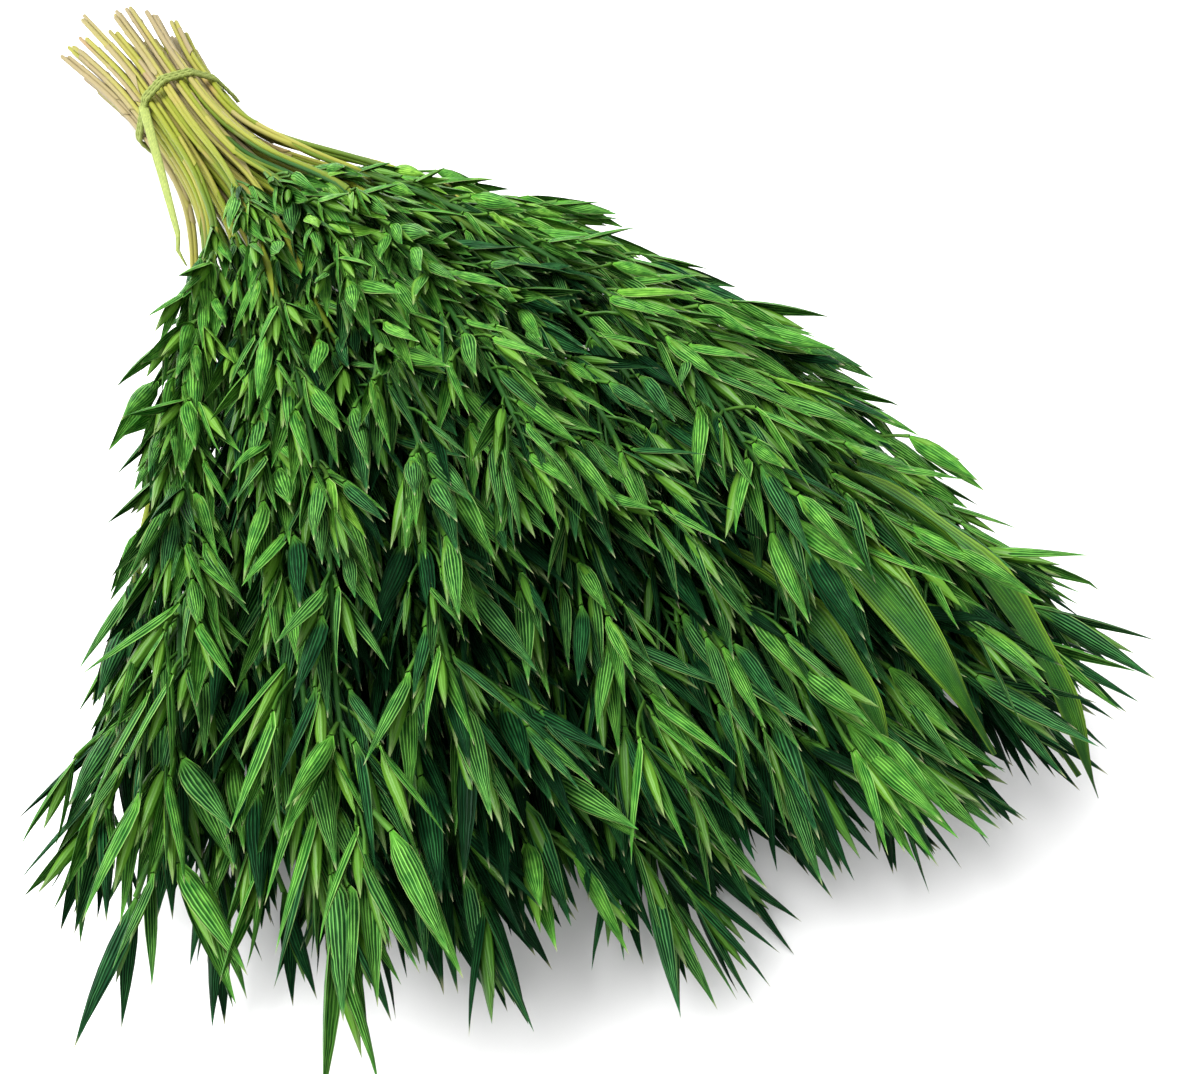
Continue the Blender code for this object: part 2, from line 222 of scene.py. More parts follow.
def marks_along(points):
    """How far along the line through the points each of them is."""
    steps = np.linalg.norm(np.diff(points, axis=0), axis=1)
    return np.concatenate([[0.0], np.cumsum(steps)])


def placed(name, data):
    """A new object in the scene."""
    thing = bpy.data.objects.new(name, data)
    bpy.context.scene.collection.objects.link(thing)
    return thing


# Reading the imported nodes


def welded(node):
    """(points, neighbours) of a node's mesh, with the vertices that share a place made one."""
    mesh = node.data
    places = np.empty(len(mesh.vertices) * 3)
    mesh.vertices.foreach_get("co", places)
    places = places.reshape(-1, 3)
    keys = np.round(places / WELD).astype(np.int64)
    _, first, index = np.unique(keys, axis=0, return_index=True, return_inverse=True)
    edges = np.empty(len(mesh.edges) * 2, np.int32)
    mesh.edges.foreach_get("vertices", edges)
    near = [set() for _ in first]
    for a, b in index.reshape(-1)[edges].reshape(-1, 2):
        if a != b:
            near[a].add(int(b))
            near[b].add(int(a))
    return places[first], near


def is_tip(vertex, points, near):
    """Whether a vertex is the point of a blade: its four edges all run the same way."""
    if len(near[vertex]) != 4:
        return False
    ways = unit(points[sorted(near[vertex])] - points[vertex])
    return bool((ways @ unit(ways.mean(axis=0))).min() > TIP_CONE)


def peeled(tip, near):
    """The rings of four vertices below a tip, down to the first ring that more grows from."""
    rings = []
    seen = {tip}
    ring = near[tip]
    while len(ring) == 4:
        rings.append(sorted(ring))
        seen |= ring
        ring = set().union(*(near[vertex] for vertex in ring)) - seen
    return rings


def wide_way(corners):
    """The half vector across the wide way of four corners."""
    opposite = 1 + np.linalg.norm(corners[1:] - corners[0], axis=1).argmax()
    first, second = (corners[k] for k in (1, 2, 3) if k != opposite)
    halves = (0.5 * (first - second), 0.5 * (corners[0] - corners[opposite]))
    return max(halves, key=lambda half: half @ half)


class Path:
    """A smooth curve through points, measured by the distance along them."""

    def __init__(self, points):
        self.points = np.asarray(points)
        self.marks = marks_along(self.points)
        self.length = self.marks[-1]
        steps = np.diff(self.marks)[:, None]
        slopes = np.diff(self.points, axis=0) / steps
        inner = (slopes[:-1] * steps[1:] + slopes[1:] * steps[:-1]) / (steps[1:] + steps[:-1])
        self.slopes = np.concatenate([slopes[:1], inner, slopes[-1:]])

    def at(self, distances):
        """(points, ways) at these distances."""
        part = np.searchsorted(self.marks, distances, "right") - 1
        part = np.clip(part, 0, len(self.marks) - 2)
        step = (self.marks[part + 1] - self.marks[part])[:, None]
        t = (distances - self.marks[part])[:, None] / step
        start, span = self.points[part], self.points[part + 1] - self.points[part]
        leave, arrive = self.slopes[part] * step, self.slopes[part + 1] * step
        points = start + span * (3 * t**2 - 2 * t**3)
        points += leave * (t**3 - 2 * t**2 + t) + arrive * (t**3 - t**2)
        ways = span * (6 * t - 6 * t**2)
        ways += leave * (3 * t**2 - 4 * t + 1) + arrive * (3 * t**2 - 2 * t)
        return points, unit(ways)


class PackedStem:
    """What a stem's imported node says: the line of its straw, its husks and its leaves.

    tie and head are the distances along the straw of the tie and of the first husk's root."""

    def __init__(self, name):
        self.name = name
        points, near = welded(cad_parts[name])
        husks = []
        self.leaves = []
        grown = set()
        for tip in range(len(points)):
            if not is_tip(tip, points, near):
                continue
            rings = peeled(tip, near)
            spans = [np.ptp(points[ring], axis=0).max() for ring in rings]
            grown.add(tip)
            if len(rings) >= LEAF_SECTIONS and spans[1] > spans[0]:
                grown |= set().union(*rings[: LEAF_SECTIONS - 1])
                sections = [points[ring] for ring in reversed(rings[:LEAF_SECTIONS])]
                self.leaves.append([*sections, points[tip]])
            else:
                grown |= set(rings[0])
                husks.append((points[rings[1]].mean(axis=0), points[tip], wide_way(points[rings[0]])))
        self.roots, self.tips, self.wides = (np.array(column) for column in zip(*husks))
        straw = points[[k for k in range(len(points)) if k not in grown]]
        straw = straw[np.argsort(-straw[:, 1])]
        splits = np.flatnonzero(-np.diff(straw[:, 1]) > RING_GAP) + 1
        rings = np.split(straw, splits)
        self.path = Path([ring.mean(axis=0) for ring in rings])
        self.radii = [np.linalg.norm(ring - ring.mean(axis=0), axis=1).mean() for ring in rings]
        low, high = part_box("neck_tie")
        self.tie = np.interp(-0.5 * (low.y + high.y), -self.path.points[:, 1], self.path.marks)
        gaps = np.linalg.norm(self.path.points[:, None] - self.roots, axis=2)
        self.head = self.path.marks[gaps.argmin(axis=0)].min()

    def radius(self, distances):
        """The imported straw's radius at these distances."""
        return np.interp(distances, self.path.marks, self.radii)


def packed_stems():
    """All packed stems, in the order of their numbers."""
    names = sorted(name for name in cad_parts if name.startswith("oat_stem_"))
    return [PackedStem(name) for name in names]


# Gathering grids of points into one mesh


class Growth:
    """The faces of one piece, gathered as grids of points before they become a mesh."""

    def __init__(self):
        self.points = []
        self.quads = []
        self.places = []
        self.tones = []
        self.finishes = []
        self.count = 0

    def add(self, points, tones, chances, finish, closed=False, along=None):
        """Adds grids of shape (number, rows, columns, 3), with a tone and a chance number each.

        The first map's u runs across a grid and its v along it, as shares or as given. The
        faces of a closed grid are turned to look outward."""
        number, rows, columns = points.shape[:3]
        wide = columns if closed else columns - 1
        along = np.linspace(0.0, 1.0, rows) if along is None else along
        row, column = np.meshgrid(np.arange(rows - 1), np.arange(wide), indexing="ij")
        rows_of = np.stack([row, row, row + 1, row + 1], axis=-1).reshape(-1, 4)
        columns_of = np.stack([column, column + 1, column + 1, column], axis=-1).reshape(-1, 4)
        quads = rows_of * columns + columns_of % columns
        places = np.stack([columns_of / wide, along[rows_of]], axis=-1)
        if closed:
            quads, places = quads[:, ::-1], places[:, ::-1]
        pairs = np.stack(np.broadcast_arrays(tones, chances), axis=-1).reshape(-1, 2)
        starts = self.count + np.arange(number) * rows * columns
        self.points.append(points.reshape(-1, 3))
        self.quads.append((starts[:, None, None] + quads).reshape(-1, 4))
        self.places.append(np.broadcast_to(places, (number, *places.shape)).reshape(-1, 2))
        self.tones.append(np.repeat(pairs, quads.size, axis=0))
        self.finishes.append(np.full(number * len(quads), finish))
        self.count += number * rows * columns

    def make(self, name, finishes):
        """The object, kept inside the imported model's box."""
        points = np.clip(np.concatenate(self.points), CAD_LOW, CAD_HIGH)
        quads = np.concatenate(self.quads).astype(np.int32)
        mesh = bpy.data.meshes.new(name)
        mesh.vertices.add(len(points))
        mesh.vertices.foreach_set("co", points.ravel().astype(np.float32))
        mesh.loops.add(quads.size)
        mesh.loops.foreach_set("vertex_index", quads.ravel())
        mesh.polygons.add(len(quads))
        mesh.polygons.foreach_set("loop_start", np.arange(0, quads.size, 4, dtype=np.int32))
        mesh.polygons.foreach_set("material_index", np.concatenate(self.finishes).astype(np.int32))
        mesh.polygons.foreach_set("use_smooth", np.ones(len(quads), bool))
        for layer, values in zip(MAPS, (self.places, self.tones)):
            values = np.concatenate(values).ravel().astype(np.float32)
            mesh.uv_layers.new(name=layer).data.foreach_set("uv", values)
        mesh.update(calc_edges=True)
        mesh.validate()
        for finish in finishes:
            mesh.materials.append(finish)
        return placed(name, mesh)


# The shapes that a stem is grown from


def ovals(centres, first, second, sides):
    """Grids of points round the centres, in rows that reach out by these two vectors."""
    turns = np.linspace(0.0, FULL_TURN, sides, endpoint=False)[:, None]
    round_way = first[..., None, :] * np.cos(turns) + second[..., None, :] * np.sin(turns)
    return centres[..., None, :] + round_way


def tube(centres, ways, radii, sides, reference):
    """Grids of points round the centres, square to the ways."""
    aside = unit(np.cross(ways, reference))
    above = np.cross(aside, ways)
    return ovals(centres, aside * radii[..., None], above * radii[..., None], sides)


def lanceolate(shares, widest):
    """A width profile: rounded at its base, widest early on and drawn out to a fine point."""
    base_power = 0.66
    tip_power = base_power * (1.0 - widest) / widest
    base_start, tip_end = 0.012, 1.004
    profile = (shares + base_start) ** base_power * (tip_end - shares) ** tip_power
    return profile / profile.max()


class Spikelets:
    """A batch of spikelets: where each stalk starts, where its husks start and end, how it lies."""

    def __init__(self, roots, bases, tips, wide):
        self.roots = roots
        self.bases = bases
        self.tips = tips
        self.along = unit(tips - bases)
        self.length = np.linalg.norm(tips - bases, axis=1)
        self.wide = square_to(wide, self.along)
        self.above = np.cross(self.wide, self.along)
        self.middles = 0.5 * (bases + tips)


def painted_shade_under_cover(places, middles):
    """How far each place lies under the spikelets above it, from 0 to 1: the share of painted shade that
    darkens its tone.
    """
    gaps = middles[None] - places[:, None]
    beside = np.linalg.norm(gaps[..., :2], axis=2) < COVER_REACH
    above = gaps[..., 2] > COVER_HEIGHT
    return 1.0 - np.exp(-(beside & above).sum(axis=1) / COVER_COUNT)


def husk_points(bases, along, back, length, half_width, curl, shape, grid):
    """Boat-shaped husks whose backs face the back way, of shape (number, rows, columns, 3)."""
    rows, columns = grid
    v = np.linspace(0.0, 1.0, rows)[:, None]
    bend = shape.wrap * np.linspace(-1.0, 1.0, columns)
    length, curl = length[:, None, None], curl[:, None, None]
    radius = half_width[:, None, None] * lanceolate(v, HUSK_WIDEST) / math.sin(shape.wrap)
    rise = length * (shape.bulge * arch(v) + curl * v**3) - radius * (1.0 - np.cos(bend))
    bases, along, back = (vectors[:, None, None] for vectors in (bases, along, back))
    points = bases + along * (length * v)[..., None] + back * rise[..., None]
    return points + np.cross(along, back) * (radius * np.sin(bend))[..., None]


def add_husks(growth, batch, shape, tones, draw, grid):
    """The two husks of each spikelet, open in a narrow V."""
    number = len(batch.length)
    for side in (1.0, -1.0):
        gape = side * draw.uniform(shape.gape_least, shape.gape_most, number)
        along = turned(batch.along, batch.wide, gape)
        back = side * turned(batch.above, batch.wide, gape)
        back = turned(back, along, draw.normal(0.0, HUSK_ROLL, number))
        length = batch.length * draw.uniform(SHORTEST_HUSK, 1.0, number)
        half_width = 0.5 * shape.husk_width * length * draw.uniform(*HUSK_WIDTHS, number)
        curl = draw.uniform(*TIP_CURLS, number)
        points = husk_points(batch.bases, along, back, length, half_width, curl, shape, grid)
        own_tones = np.clip(tones + draw.normal(0.0, HUSK_TONES, number), 0.0, 1.0)
        growth.add(points, own_tones, draw.uniform(0, 1, number), HUSK)


def add_florets(growth, batch, shape, tones, draw, count):
    """The slim closed florets that lie between the husks."""
    rows, sides = FLORET_GRID
    number = len(batch.length)
    v = np.linspace(0.0, 1.0, rows)
    for _ in range(count):
        along = turned(batch.along, batch.above, draw.normal(0.0, shape.floret_lean, number))
        side_lean = SIDE_LEAN * shape.floret_lean
        along = turned(along, batch.wide, draw.normal(0.0, side_lean, number))[:, None]
        length = (batch.length * draw.uniform(*shape.floret_length, number))[:, None]
        places = FLORET_START * batch.length[:, None] + length * v
        centres = batch.bases[:, None] + along * places[..., None]
        radii = 0.5 * shape.floret_width * length * lanceolate(v, FLORET_WIDEST)
        points = tube(centres, along, radii, sides, batch.above[:, None])
        growth.add(points, tones, draw.uniform(0, 1, number), FLORET, closed=True)


def add_stalks(growth, batch, shape, tones):
    """The thin stalk from the panicle's axis to each spikelet, a little thicker at its end."""
    rows, sides = STALK_GRID
    v = np.linspace(0.0, 1.0, rows)[:, None]
    span = (batch.bases - batch.roots)[:, None]
    bend = STALK_BEND * np.linalg.norm(span, axis=2, keepdims=True) * arch(v)
    centres = batch.roots[:, None] + span * v + batch.above[:, None] * bend
    radii = shape.stalk_radius * (1.0 + STALK_SWELL * v[:, 0] ** 3)
    points = tube(centres, unit(span), radii, sides, batch.wide[:, None])
    growth.add(points, tones, tones, AXIS, closed=True)


class Straw:
    """One of the thin straws that lie together along a packed stem."""

    def __init__(self, stem, turn, end, shape, draw):
        self.stem = stem
        self.turn = turn
        self.end = end
        self.offset = shape.straw_offset
        self.twist = draw.normal(0.0, shape.straw_twist)
        self.fill = draw.uniform(*shape.straw_fill)

    def at(self, marks):
        """(points, ways) along the straw, which comes to the stem's own line in the head."""
        points, ways = self.stem.path.at(marks)
        aside = unit(np.cross(ways, UP))
        above = np.cross(aside, ways)
        shares = marks / self.stem.head
        turns = self.turn + self.twist * shares
        away = self.offset * self.stem.radius(marks) * np.clip(JOINED_AT - shares, 0.0, 1.0)
        points = points + (away * np.cos(turns))[:, None] * aside
        return points + (away * np.sin(turns))[:, None] * above, ways

    def radius(self, marks):
        """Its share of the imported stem's radius, and more of it in the head."""
        alone = np.clip(marks / self.stem.head - THICKER_FROM, 0.0, 1.0)
        return self.stem.radius(marks) * self.fill * (1.0 + alone)


def add_straws(growth, stem, shape, tone, draw):
    """The straws of a stem. One runs on as the head's axis, and the others end in the head."""
    start = draw.uniform(0.0, FULL_TURN)
    for place in range(STRAWS_EACH):
        end = min(stem.head + draw.uniform(*STRAWS_PAST), stem.path.length)
        if place == 0:
            end = stem.path.length
        straw = Straw(stem, start + FULL_TURN * place / STRAWS_EACH, end, shape, draw)
        own_tone = np.clip(tone + draw.normal(0.0, STRAW_TONES), 0.0, 1.0)
        add_straw(growth, straw, shape, own_tone, draw)


def add_straw(growth, straw, shape, tone, draw):
    """A straw from its hollow cut end to its tip, with knots and dry sheaths."""
    stem = straw.stem
    knots = stem.tie + np.array(KNOTS_FROM_TIE)
    knots += draw.uniform(*KNOT_SHIFTS, len(knots))
    first = draw.uniform(0.0, shape.cut_spread)
    beside = knots[:, None] + shape.knot_length * np.array([-1.0, 0.0, 1.0])
    marks = np.arange(first, straw.end, STRAW_STEP)
    marks = np.unique(np.concatenate([marks, beside.ravel(), [straw.end]]))
    marks = marks[(marks >= first) & (marks <= straw.end)]
    centres, ways = straw.at(marks)
    gaps = np.abs(marks[:, None] - knots).min(axis=1) / shape.knot_length
    radii = straw.radius(marks) * (1.0 + KNOT_SWELL * np.exp(-KNOT_SHARPNESS * gaps**2))
    depths = np.array([1.0, 1.0, 0.0])
    inner = centres[0] + ways[0] * (depths * BORE_DEPTH)[:, None]
    bores = radii[0] * np.array([BORE_FLOOR, shape.bore, shape.bore])
    centres = np.concatenate([inner, centres])
    ways = np.concatenate([ways[[0, 0, 0]], ways])
    to_end = straw.end - np.concatenate([np.zeros(3), marks])
    radii = np.concatenate([bores, radii]) * np.clip(TIP_RADIUS + to_end / TAPER_LENGTH, 0.0, 1.0)
    points = tube(centres, ways, radii, STRAW_SIDES, UP)
    along = np.concatenate([marks[[0, 0, 0]], marks])
    past = (along - stem.head) / (stem.path.length - stem.head)
    along = np.where(along < stem.head, along / stem.head, 1.0 + past)
    growth.add(points[None], tone, draw.uniform(), STRAW, closed=True, along=along)
    for knot, most in zip(knots, (stem.tie - TIE_ROOM, stem.head, stem.head)):
        if draw.uniform() < shape.sheathed:
            end = min(knot + draw.uniform(*shape.sheath_length), most)
            add_sheath(growth, straw, max(knot, first), end, shape, draw)


def add_sheath(growth, straw, start, end, shape, draw):
    """A dry sheath round the straw, from a knot to its slanting, loose end."""
    if end - start < LEAST_SHEATH:
        return
    rows, sides = SHEATH_GRID
    share = np.linspace(0.0, 1.0, rows)
    marks = start + (end - start) * share
    centres, ways = straw.at(marks)
    radii = straw.radius(marks) * (SHEATH_ROOM + SHEATH_FLARE * share**4)
    points = tube(centres, ways, radii, sides, UP)
    turn = np.linspace(0.0, FULL_TURN, sides, endpoint=False) + draw.uniform(0.0, FULL_TURN)
    slant = 0.5 * (1.0 - np.cos(turn)) * draw.uniform(*SHEATH_SLANTS) * (end - start)
    points = points - ways[:, None] * (share[:, None] ** 2 * slant)[..., None]
    along = np.maximum(marks / straw.stem.head - draw.uniform(*SHEATH_DRYNESS), 0.0)
    tone = draw.uniform(*SHEATH_TONES)
    growth.add(points[None], tone, draw.uniform(), STRAW, closed=True, along=along)


def add_leaf(growth, leaf, shape, draw):
    """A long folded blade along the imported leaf's line, turning a little towards its tip."""
    rows, columns = LEAF_GRID
    path = Path([*(section.mean(axis=0) for section in leaf[:-1]), leaf[-1]])
    centres, ways = path.at(np.linspace(0.0, path.length, rows))
    wide = square_to(wide_way(leaf[2])[None], ways)
    share = np.linspace(0.0, 1.0, rows)
    wide = turned(wide, ways, shape.leaf_twist * draw.uniform(*LEAF_TWISTS) * share**2)
    above = np.cross(wide, ways)
    share = share[:, None]
    u = np.linspace(-1.0, 1.0, columns)
    half = 0.5 * shape.leaf_width * lanceolate(share, LEAF_WIDEST)
    ripple = LEAF_RIPPLE * np.sin(FULL_TURN * (LEAF_WAVES * share + WAVE_SLANT * u)) * u**2
    height = half * shape.leaf_fold * np.abs(u) ** FOLD_POWER + ripple
    points = centres[:, None] + wide[:, None] * (half * u)[..., None]
    points = points + above[:, None] * height[..., None]
    growth.add(points[None], draw.uniform(*LEAF_TONES), draw.uniform(), LEAF)


# Where the spikelets stand


def packed_batch(stem, shape, draw):
    """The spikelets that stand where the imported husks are."""
    bases = stem.roots + (stem.tips - stem.roots) * STALK_SHARE
    turns = draw.normal(0.0, shape.spikelet_turn, len(bases))
    wide = turned(unit(stem.wides), unit(stem.tips - stem.roots), turns)
    return Spikelets(stem.roots, bases, stem.tips, wide)


def stand_ins(bases, tips):
    """The points that stand for spikelets: the widest places of their husks, and their tips."""
    return bases * (1.0 - STAND_IN_AT) + tips * STAND_IN_AT, tips


class Room:
    """The spikelets so far, so that the emptiest place for another can be found."""

    def __init__(self, batches):
        marks = [stand_ins(batch.bases, batch.tips) for batch in batches]
        self.marks = np.concatenate(marks, axis=1).reshape(-1, 3)

    def roominess(self, bases, tips):
        """For each candidate, the squared gap to the nearest of the spikelets so far."""
        gaps = [
            ((points[:, None] - self.marks) ** 2).sum(axis=2).min(axis=1)
            for points in stand_ins(bases, tips)
        ]
        return np.minimum(*gaps)

    def add(self, base, tip):
        self.marks = np.concatenate([self.marks, stand_ins(base, tip)])


def end_spikelet(stem, shape, draw):
    """[(root, base, tip, out)] of the spikelet at the axis's tip, or [] if a packed one is there."""
    point, way = (found[0] for found in stem.path.at(np.array([stem.path.length])))
    if np.linalg.norm(stem.roots - point, axis=1).min() < END_ROOM:
        return []
    way = unit(way + draw.normal(0.0, END_LEAN, 3))
    tip = np.clip(point + way * shape.small_length[1], ROOM_LOW, ROOM_HIGH)
    return [(point, point + way * END_ROOM, tip, square_to(draw.normal(0.0, 1.0, 3), way))]


def branches_from(stem, shape):
    """Where a stem's small spikelets start: just before its husks, or sooner on top near the neck."""
    sooner = stem.tie + shape.neck_length
    place = stem.path.at(np.array([sooner]))[0][0]
    first = stem.head - BRANCHES_BEFORE
    if place[2] > TOP_HEIGHT:
        first = min(first, sooner + max(abs(place[0]) - NECK_HALF_WIDTH, 0.0))
    return first


def small_batch(stem, room, shape, draw):
    """Smaller spikelets on branches of their own, each in the emptiest place of a few drawn."""
    first = branches_from(stem, shape)
    reach = stem.path.length - first
    least, most = OPENING
    found = end_spikelet(stem, shape, draw)
    for _ in range(round(reach / shape.branch_spacing)):
        marks = draw.uniform(first, stem.path.length, PLACES_TRIED)
        roots, ways = stem.path.at(marks)
        out = square_to(draw.normal(0.0, 1.0, ways.shape), ways)
        opening = least + (most - least) * (marks - first) / reach
        lean = (opening * draw.uniform(*shape.branch_lean, len(marks)))[:, None]
        branch = ways * np.cos(lean) + out * np.sin(lean)
        bases = roots + branch * draw.uniform(*shape.branch_length, len(marks))[:, None]
        hang = unit(branch + ways - UP * draw.uniform(0.0, MOST_DROOP))
        tips = bases + hang * draw.uniform(*shape.small_length, len(marks))[:, None]
        inside = ((tips > ROOM_LOW) & (tips < ROOM_HIGH)).all(axis=1)
        best = np.argmax(np.where(inside, room.roominess(bases, tips), -1.0))
        if inside[best]:
            found.append((roots[best], bases[best], tips[best], out[best]))
            room.add(bases[best], tips[best])
    roots, bases, tips, outs = (np.array(column) for column in zip(*found))
    along = unit(tips - bases)
    turns = draw.normal(0.0, shape.spikelet_turn, len(bases))
    return Spikelets(roots, bases, tips, turned(unit(np.cross(along, outs)), along, turns))


# Shader maths


class Wire:
    """A shader's socket. Arithmetic on it adds Math nodes."""

    def __init__(self, finish, socket):
        self.finish = finish
        self.socket = socket

    def maths(self, operation, *values):
        return self.finish.add("ShaderNodeMath", {"operation": operation}, dict(enumerate(values)))

    def __add__(self, other):
        return self.maths("ADD", self, other)

    def __sub__(self, other):
        return self.maths("SUBTRACT", self, other)

    def __rsub__(self, other):
        return self.maths("SUBTRACT", other, self)

    def __mul__(self, other):
        return self.maths("MULTIPLY", self, other)

    __radd__ = __add__
    __rmul__ = __mul__

    def waves(self, count):
        """This many even waves over it, from 0 to 1."""
        return self.maths("SINE", self * (FULL_TURN * count)) * 0.5 + 0.5

    def off_middle(self):
        """0 half way across and 1 at both sides."""
        return self.maths("ABSOLUTE", self - 0.5) * 2.0

    def between(self, low, high):
        """0 at low or under, 1 at high or over, smooth between."""
        inputs = {"Value": self, "From Min": low, "From Max": high}
        return self.finish.add("ShaderNodeMapRange", {"interpolation_type": "SMOOTHSTEP"}, inputs)


class Finish:
    """A material that is being made."""

    def __init__(self, name):
        self.material = bpy.data.materials.new(name)
        self.material.use_nodes = True
        self.tree = self.material.node_tree
        self.shader = self.tree.nodes["Principled BSDF"]

    def add(self, kind, settings, inputs, output=0):
        """Adds a node, makes its settings, feeds its sockets and gives one of its outputs."""
        node = self.tree.nodes.new(kind)
        for name, value in settings.items():
            if name == "stops":
                self.set_stops(node.color_ramp, value)
            else:
                setattr(node, name, value)
        for name, value in inputs.items():
            self.feed(node.inputs[name], value)
        return Wire(self, node.outputs[output])

    def set_stops(self, ramp, stops):
        while len(ramp.elements) < len(stops):
            ramp.elements.new(1.0)
        for element, (place, colour) in zip(ramp.elements, stops):
            element.position = place
            element.color = (*colour, 1.0)

    def feed(self, socket, value):
        if isinstance(value, Wire):
            self.tree.links.new(value.socket, socket)
        else:
            socket.default_value = (*value, 1.0) if socket.type == "RGBA" else value

    def maps(self):
        """[u, v, tone, chance] from the mesh's maps."""
        pairs = [self.add("ShaderNodeUVMap", {"uv_map": name}, {}) for name in MAPS]
        sockets = [(pair, axis) for pair in pairs for axis in range(2)]
        return [self.add("ShaderNodeSeparateXYZ", {}, {0: pair}, axis) for pair, axis in sockets]

    def noise(self, u, v, scale, detail=3.0):
        """Noise over the place (u, v, 0), from 0 to 1."""
        place = self.add("ShaderNodeCombineXYZ", {}, {0: u, 1: v})
        inputs = {"Vector": place, "Scale": scale, "Detail": detail}
        return self.add("ShaderNodeTexNoise", {}, inputs)

    def ramp(self, value, stops, look, kind):
        """The look's colours of this kind, blended by a value that is 0 at the first of them."""
        stops = [(place, getattr(look, f"{kind}_{name}")) for place, name in stops.items()]
        return self.add("ShaderNodeValToRGB", {"stops": stops}, {0: value})

    def blend(self, share, first, second, kind="MIX"):
        """Two colours mixed by a share."""
        settings = {"data_type": "RGBA", "blend_type": kind}
        inputs = {MIX_SHARE: share, MIX_FIRST: first, MIX_SECOND: second}
        return self.add("ShaderNodeMix", settings, inputs, MIX_RESULT)

    def surface(self, colour, roughness, gloss=0.5, relief=None):
        """Feeds the shader, with a relief (its shape, its height) or none. Gives the material."""
        values = {"Base Color": colour, "Roughness": roughness, "Specular IOR Level": gloss}
        if relief:
            inputs = dict(zip(("Height", "Distance"), relief))
            values["Normal"] = self.add("ShaderNodeBump", {}, inputs)
        for name, value in values.items():
            self.feed(self.shader.inputs[name], value)
        return self.material


def husk_finish(look):
    """Green husk: fine dark grooves between its veins, a painted sheen on its back, painted highlights
    on its veins, pale margins and a dry tip.
    """
    finish = Finish("oat husk")
    u, v, tone, chance = finish.maps()
    side = u.off_middle()
    waver = finish.noise(u * 2.0 + chance * 20.0, v * 2.5, scale=1.5) - 0.5
    veins = (u + waver * 0.08).waves(look.veins)
    inside = v.between(0.0, 0.18) * (1.0 - v).between(0.0, 0.22)
    depth = finish.noise(u * 6.0 + chance * 11.0, v * 1.5 + tone * 5.0, scale=2.0)
    depth = (0.3 + 0.7 * depth.between(0.25, 0.6)) * (1.12 - 0.75 * tone)
    groove = (1.0 - veins).between(0.2, 0.85) * inside * depth
    # Painted highlight on the tops of the veins of mid-toned husks, partly the veins' own pale colour
    ridge_highlight = veins.between(0.72, 1.0) * inside * tone.between(0.10, 0.35) * (0.40 - 0.36 * tone)
    light = finish.noise(u * 1.6 + chance * 31.0, v * 2.4 + tone * 7.0, scale=2.0)
    root = (1.0 - v).between(0.78, 1.0)
    margin = side.between(0.91, 1.0) * tone.between(0.05, 0.3)
    dry = v.between(0.90, 1.0) * chance.between(0.1, 0.6)
    # Painted shade: low tones, from the spikelets above, pick the darkest husk colours
    body, bright = (finish.ramp(tone, TONE_STOPS, look, kind) for kind in ("body", "bright"))
    # Random mottling, and a painted sheen that makes the husk's back lighter than its sides, blend the
    # body colours to their lighter copies
    colour = finish.blend(light.between(0.3, 0.7) * (1.0 - side * 0.6), body, bright)
    colour = finish.blend(ridge_highlight, colour, look.vein_and_highlight)
    colour = finish.blend(groove, colour, look.groove)
    colour = finish.blend(root * 0.5, colour, look.lime)
    colour = finish.blend(margin * 0.75, colour, look.margin)
    colour = finish.blend(dry * 0.85, colour, look.dry_tip)
    roughness = 0.35 + 0.25 * groove
    return finish.surface(colour, roughness, gloss=0.05, relief=(1.0 - groove, look.vein_height))


def floret_finish(look):
    """The floret: smoother and yellower than the husks, with faint lines and a pale tip."""
    finish = Finish("oat floret")
    u, v, tone, chance = finish.maps()
    lines = u.waves(FLORET_LINES)
    # The tone carries painted shade under other spikelets and painted light towards the neck, with
    # random tone
    colour = finish.blend(tone, look.floret_deep, look.floret_light)
    colour = finish.blend(lines * 0.35, colour, look.lime)
    colour = finish.blend(v.between(0.7, 1.0) * 0.5 * chance, colour, look.dry_tip)
    return finish.surface(colour, roughness=0.42, gloss=0.3, relief=(lines, look.fine_height))


def straw_finish(look):
    """Straw: pale at the cut end, yellow-green past the tie, green in the head, with fine streaks."""
    finish = Finish("oat straw")
    u, v, tone, chance = finish.maps()
    streaks = finish.noise(u * 9.0 + chance * 40.0, v * 1.3, scale=3.0, detail=5.0)
    fine = finish.noise(u * 30.0 + chance * 40.0, v * 2.0, scale=3.0, detail=2.0)
    blush = finish.noise(chance * 23.0, v * 2.2, scale=2.0)
    blush = blush.between(0.56, 0.74) * (1.0 - v.between(0.5, 1.1))
    place = v + (tone - 0.5) * 0.60 + (streaks - 0.5) * 0.25
    colour = finish.ramp(place * 0.5, STRAW_STOPS, look, "straw")
    colour = finish.blend(fine.between(0.5, 0.8) * 0.45, colour, look.streak, "MULTIPLY")
    colour = finish.blend(blush * 0.5, colour, look.blush)
    roughness = 0.40 + 0.22 * streaks
    return finish.surface(colour, roughness, gloss=0.22, relief=(fine, look.streak_height))


def axis_finish(look):
    """The thin green stalks and branches of the head."""
    finish = Finish("oat stalk")
    u, v, tone, _ = finish.maps()
    grain = finish.noise(u * 6.0, v * 2.0, scale=4.0)
    # The tone carries painted shade under other spikelets and painted light towards the neck, with
    # random tone
    colour = finish.blend(tone, look.straw_green, look.stalk_light)
    colour = finish.blend(v.between(0.6, 1.0) * 0.4, colour, look.lime)
    return finish.surface(colour, roughness=0.5, gloss=0.25, relief=(grain, look.fine_height))


